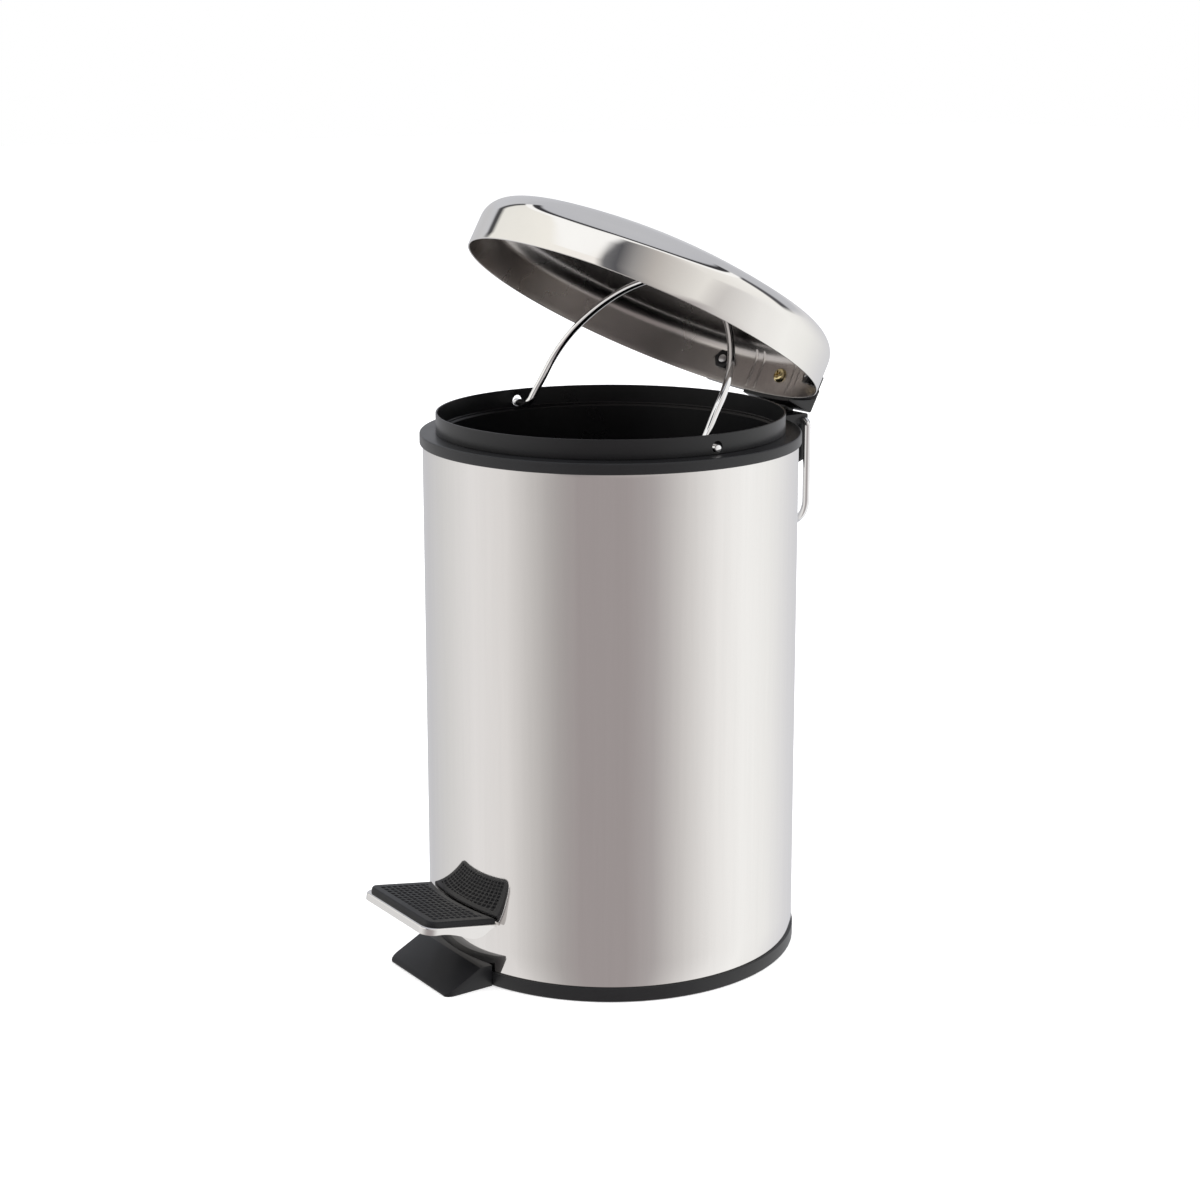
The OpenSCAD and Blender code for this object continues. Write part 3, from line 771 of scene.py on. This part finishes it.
# soft studio surround: pale everywhere, a greyer zone where the room is open, white where the sweep is
w = bpy.data.worlds.new("studio")
scene.world = w
w.use_nodes = True
nt = w.node_tree
for n_ in list(nt.nodes):
    nt.nodes.remove(n_)
out = node(nt, "ShaderNodeOutputWorld")
bg = node(nt, "ShaderNodeBackground")
bgc = node(nt, "ShaderNodeBackground")
bgc.inputs["Color"].default_value = (1, 1, 1, 1)
bgc.inputs["Strength"].default_value = 1.0
lp = node(nt, "ShaderNodeLightPath")
mixs = node(nt, "ShaderNodeMixShader")
tc = node(nt, "ShaderNodeTexCoord")
mp = node(nt, "ShaderNodeVectorRotate", rotation_type='Z_AXIS')
mp.inputs["Angle"].default_value = -CAM_AZ          # x: to the right of the set, y: away from the open side
sep = node(nt, "ShaderNodeSeparateXYZ")
nt.links.new(tc.outputs["Generated"], mp.inputs["Vector"])
nt.links.new(mp.outputs["Vector"], sep.inputs["Vector"])
neg = node(nt, "ShaderNodeMath", operation='MULTIPLY'); neg.inputs[1].default_value = -1
nt.links.new(sep.outputs["Y"], neg.inputs[0])
at = node(nt, "ShaderNodeMath", operation='ARCTAN2')
nt.links.new(sep.outputs["X"], at.inputs[0])
nt.links.new(neg.outputs[0], at.inputs[1])
mr = node(nt, "ShaderNodeMapRange")
mr.inputs["From Min"].default_value = -math.pi
mr.inputs["From Max"].default_value = math.pi
nt.links.new(at.outputs[0], mr.inputs["Value"])


def az(d):
    return (d + 180) / 360


side = ramp(nt, mr.outputs["Result"], [(0.0, (0.60, 0.605, 0.63)), (az(-150), (0.62, 0.62, 0.64)), (az(-120), (0.74, 0.735, 0.73)), (az(-92), (0.875, 0.86, 0.855)),
                                       (az(-66), (0.82, 0.80, 0.79)), (az(-48), (0.62, 0.60, 0.59)), (az(-32), (0.45, 0.425, 0.42)),
                                       (az(-18), (0.385, 0.35, 0.35)), (az(10), (0.385, 0.35, 0.35)), (az(26), (0.46, 0.43, 0.43)), (az(46), (0.71, 0.69, 0.68)),
                                       (az(68), (0.95, 0.94, 0.93)), (az(90), (1.04, 1.04, 1.03)), (az(112), (0.98, 0.98, 0.97)), (az(142), (0.78, 0.78, 0.80)), (1.0, (0.60, 0.605, 0.63))])
# soft boxes over the front, by height above the horizon
up = ramp(nt, sep.outputs["Z"], [(0.0, 0.0), (0.16, 0.0), (0.27, 1.0), (1.0, 1.0)])
over = ramp(nt, mr.outputs["Result"], [(0.0, (0.60, 0.61, 0.65)), (az(-141), (0.64, 0.65, 0.69)), (az(-138), (0.08, 0.08, 0.085)), (az(-135), (0.08, 0.08, 0.085)), (az(-131), (0.94, 0.93, 0.89)), (az(-80), (1.02, 1.0, 0.95)), (az(-37), (1.05, 1.02, 0.99)), (az(-30), (0.18, 0.18, 0.19)), (az(-21), (0.11, 0.11, 0.12)),
                                       (az(-10), (0.34, 0.33, 0.33)), (az(4), (0.56, 0.53, 0.51)), (az(34), (0.92, 0.90, 0.87)), (az(97), (1.05, 1.04, 1.02)), (az(103), (0.10, 0.10, 0.11)), (az(111), (0.10, 0.10, 0.11)), (az(119), (0.58, 0.59, 0.63)), (1.0, (0.60, 0.61, 0.65))])
# ceiling: even pale grey, parted from the soft boxes by a white strip and a dark gap
ceil_f = ramp(nt, sep.outputs["Z"], [(0.0, 0.0), (0.62, 0.0), (0.64, 1.0), (1.0, 1.0)])
ceil_c = ramp(nt, sep.outputs["Z"], [(0.0, (1.12, 1.12, 1.12)), (0.685, (1.12, 1.12, 1.12)), (0.70, (0.05, 0.05, 0.055)), (0.745, (0.05, 0.05, 0.055)), (0.775, (0.575, 0.585, 0.63)), (1.0, (0.60, 0.61, 0.65))])
mixc = node(nt, "ShaderNodeMix", data_type='RGBA')
nt.links.new(up.outputs["Color"], mixc.inputs["Factor"])
nt.links.new(side.outputs["Color"], mixc.inputs["A"])
nt.links.new(over.outputs["Color"], mixc.inputs["B"])
# the strip and gap are only over the front; the rest of the ceiling stays even
rear = ramp(nt, mr.outputs["Result"], [(0.0, 1.0), (az(-139), 1.0), (az(-135), 0.0), (az(104), 0.0), (az(109), 1.0), (1.0, 1.0)])
mixe = node(nt, "ShaderNodeMix", data_type='RGBA')
nt.links.new(rear.outputs["Color"], mixe.inputs["Factor"])
nt.links.new(ceil_c.outputs["Color"], mixe.inputs["A"])
mixe.inputs["B"].default_value = (0.59, 0.60, 0.64, 1.0)
mixd = node(nt, "ShaderNodeMix", data_type='RGBA')
nt.links.new(ceil_f.outputs["Color"], mixd.inputs["Factor"])
nt.links.new(mixc.outputs["Result"], mixd.inputs["A"])
nt.links.new(mixe.outputs["Result"], mixd.inputs["B"])
nt.links.new(mixd.outputs["Result"], bg.inputs["Color"])
bg.inputs["Strength"].default_value = 1.0
nt.links.new(lp.outputs["Is Camera Ray"], mixs.inputs["Fac"])
nt.links.new(bg.outputs[0], mixs.inputs[1])
nt.links.new(bgc.outputs[0], mixs.inputs[2])
nt.links.new(mixs.outputs[0], out.inputs["Surface"])


def area(name, loc, target, size, power, glossy=True):
    li = bpy.data.lights.new(name, 'AREA')
    li.shape = 'RECTANGLE'; li.size = size[0]; li.size_y = size[1]
    li.energy = power
    ob = bpy.data.objects.new(name, li)
    scene.collection.objects.link(ob)
    ob.location = loc
    d = Vector(target) - Vector(loc)
    ob.rotation_euler = d.to_track_quat('-Z', 'Y').to_euler()
    ob.visible_glossy = glossy
    return ob


area("top_softbox", (0.0, 0.0, 2.2), (0, 0, 0), (3.2, 3.2), 40, False)
area("left_softbox", (-0.9, -1.5, 0.9), (0, 0, 0.15), (1.0, 1.2), 5, False)
area("right_softbox", (1.3, 0.9, 0.9), (0, 0, 0.15), (1.0, 1.2), 4, False)

# camera at the photograph's viewing angle
cam = bpy.data.cameras.new("camera")
cam.sensor_width = 36.0
cam.lens = 66.23
cam.shift_x = -0.00885
cam.shift_y = -0.0833
cam.clip_start = 0.05
cam.clip_end = 20
co = bpy.data.objects.new("camera", cam)
scene.collection.objects.link(co)
co.location = (0.9856 * math.sin(CAM_AZ), -0.9856 * math.cos(CAM_AZ), 0.40494)
co.rotation_euler = (math.radians(90 - 11.4), 0, CAM_AZ)
scene.camera = co
scene.view_settings.view_transform = 'Standard'
scene.view_settings.look = 'None'
